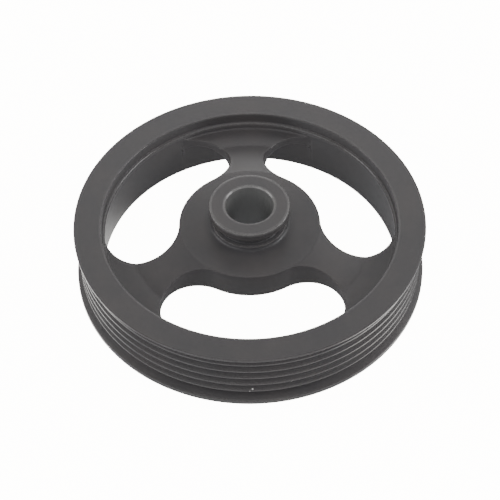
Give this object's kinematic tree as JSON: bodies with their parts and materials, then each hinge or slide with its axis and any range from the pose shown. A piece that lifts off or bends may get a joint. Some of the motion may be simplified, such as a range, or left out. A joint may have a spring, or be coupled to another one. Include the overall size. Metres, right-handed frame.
{
  "type": "ribbed belt pulley",
  "caption": "One-piece ribbed belt pulley with V grooves round a flanged rim, a dished web with kidney windows, and a central bored hub with a puller groove.",
  "frame": {"origin": "on the pulley's axis, in the plane of the rim's back edge that it rests on", "axes": "+Z along the axis towards the boss with the puller groove, +Y along one spoke"},
  "size_m": [0.125, 0.125, 0.0332],
  "materials": {
    "coated_casting": "satin"
  },
  "bodies": {
    "root": {"pulley": "coated_casting"}
  },
  "joints": []
}
